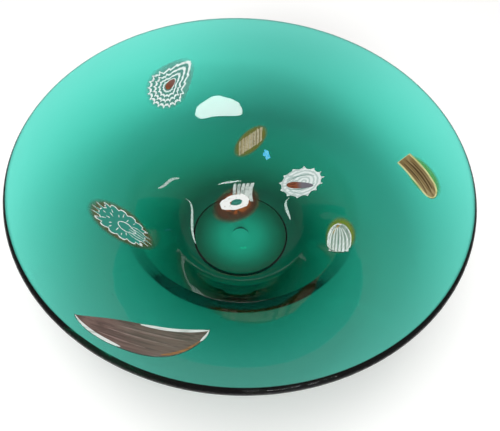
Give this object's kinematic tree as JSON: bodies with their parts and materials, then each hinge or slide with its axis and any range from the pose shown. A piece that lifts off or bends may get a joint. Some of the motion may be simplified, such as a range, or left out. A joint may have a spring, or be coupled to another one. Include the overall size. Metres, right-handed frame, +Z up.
{
  "type": "art glass bowl",
  "caption": "Blown teal glass bowl with a wide flared rim, a deep thick well, a flat foot pad and scattered patterned cane slices cased in the wall.",
  "frame": {"origin": "centre of the foot pad's resting face, on the table", "axes": "+Z up along the bowl's axis; -Y towards the viewer of the shard"},
  "size_m": [0.2799, 0.28, 0.092],
  "materials": {
    "teal_glass": "polished",
    "deep_teal_glass": "polished",
    "opaque_white": "smooth, cased in clear glass",
    "cream_glass": "smooth, cased in clear glass",
    "olive_glass": "smooth, cased in clear glass",
    "dark_brown_glass": "smooth, cased in clear glass",
    "red_brown_glass": "smooth, cased in clear glass",
    "amber_glass": "polished",
    "green_sleeve_glass": "polished",
    "brown_sleeve_glass": "polished",
    "grey_teal_sleeve_glass": "polished",
    "shard_brown_glass": "smooth, cased in clear glass",
    "shard_pink_glass": "smooth, cased in clear glass",
    "turquoise_glass": "smooth, cased in clear glass"
  },
  "bodies": {
    "root": {"inner_gather": "teal_glass", "outer_casing": "teal_glass", "foot_pad": "teal_glass", "far_star_sleeve": "grey_teal_sleeve_glass", "far_star_outer_ring": "opaque_white", "far_star_ground": "deep_teal_glass", "far_star_inner_ring": "opaque_white", "far_star_core": "red_brown_glass", "striped_cane_sleeve": "green_sleeve_glass", "striped_cane_rod": "olive_glass", "striped_cane_stripes": "cream_glass", "floor_eye_pool": "amber_glass", "floor_eye_ring": "opaque_white", "floor_eye_centre": "deep_teal_glass", "floor_eye_fan": "opaque_white", "daisy_petals": "opaque_white", "daisy_ground": "grey_teal_sleeve_glass", "daisy_core": "red_brown_glass", "beehive_cap": "green_sleeve_glass", "beehive_ground": "amber_glass", "beehive_ribs": "opaque_white", "long_cane_sleeve": "green_sleeve_glass", "long_cane_edges": "cream_glass", "long_cane_rod": "olive_glass", "long_cane_lines": "dark_brown_glass", "oval_star_sleeve": "brown_sleeve_glass", "oval_star_outline": "opaque_white", "oval_star_ground": "deep_teal_glass", "oval_star_dashes": "opaque_white", "oval_star_loop": "opaque_white", "shard_body": "shard_brown_glass", "shard_edges": "opaque_white", "shard_streaks": "shard_pink_glass", "shard_amber_edge": "amber_glass", "turquoise_chip": "turquoise_glass", "left_thread": "opaque_white", "right_thread": "opaque_white", "upper_thread": "opaque_white"}
  },
  "joints": []
}
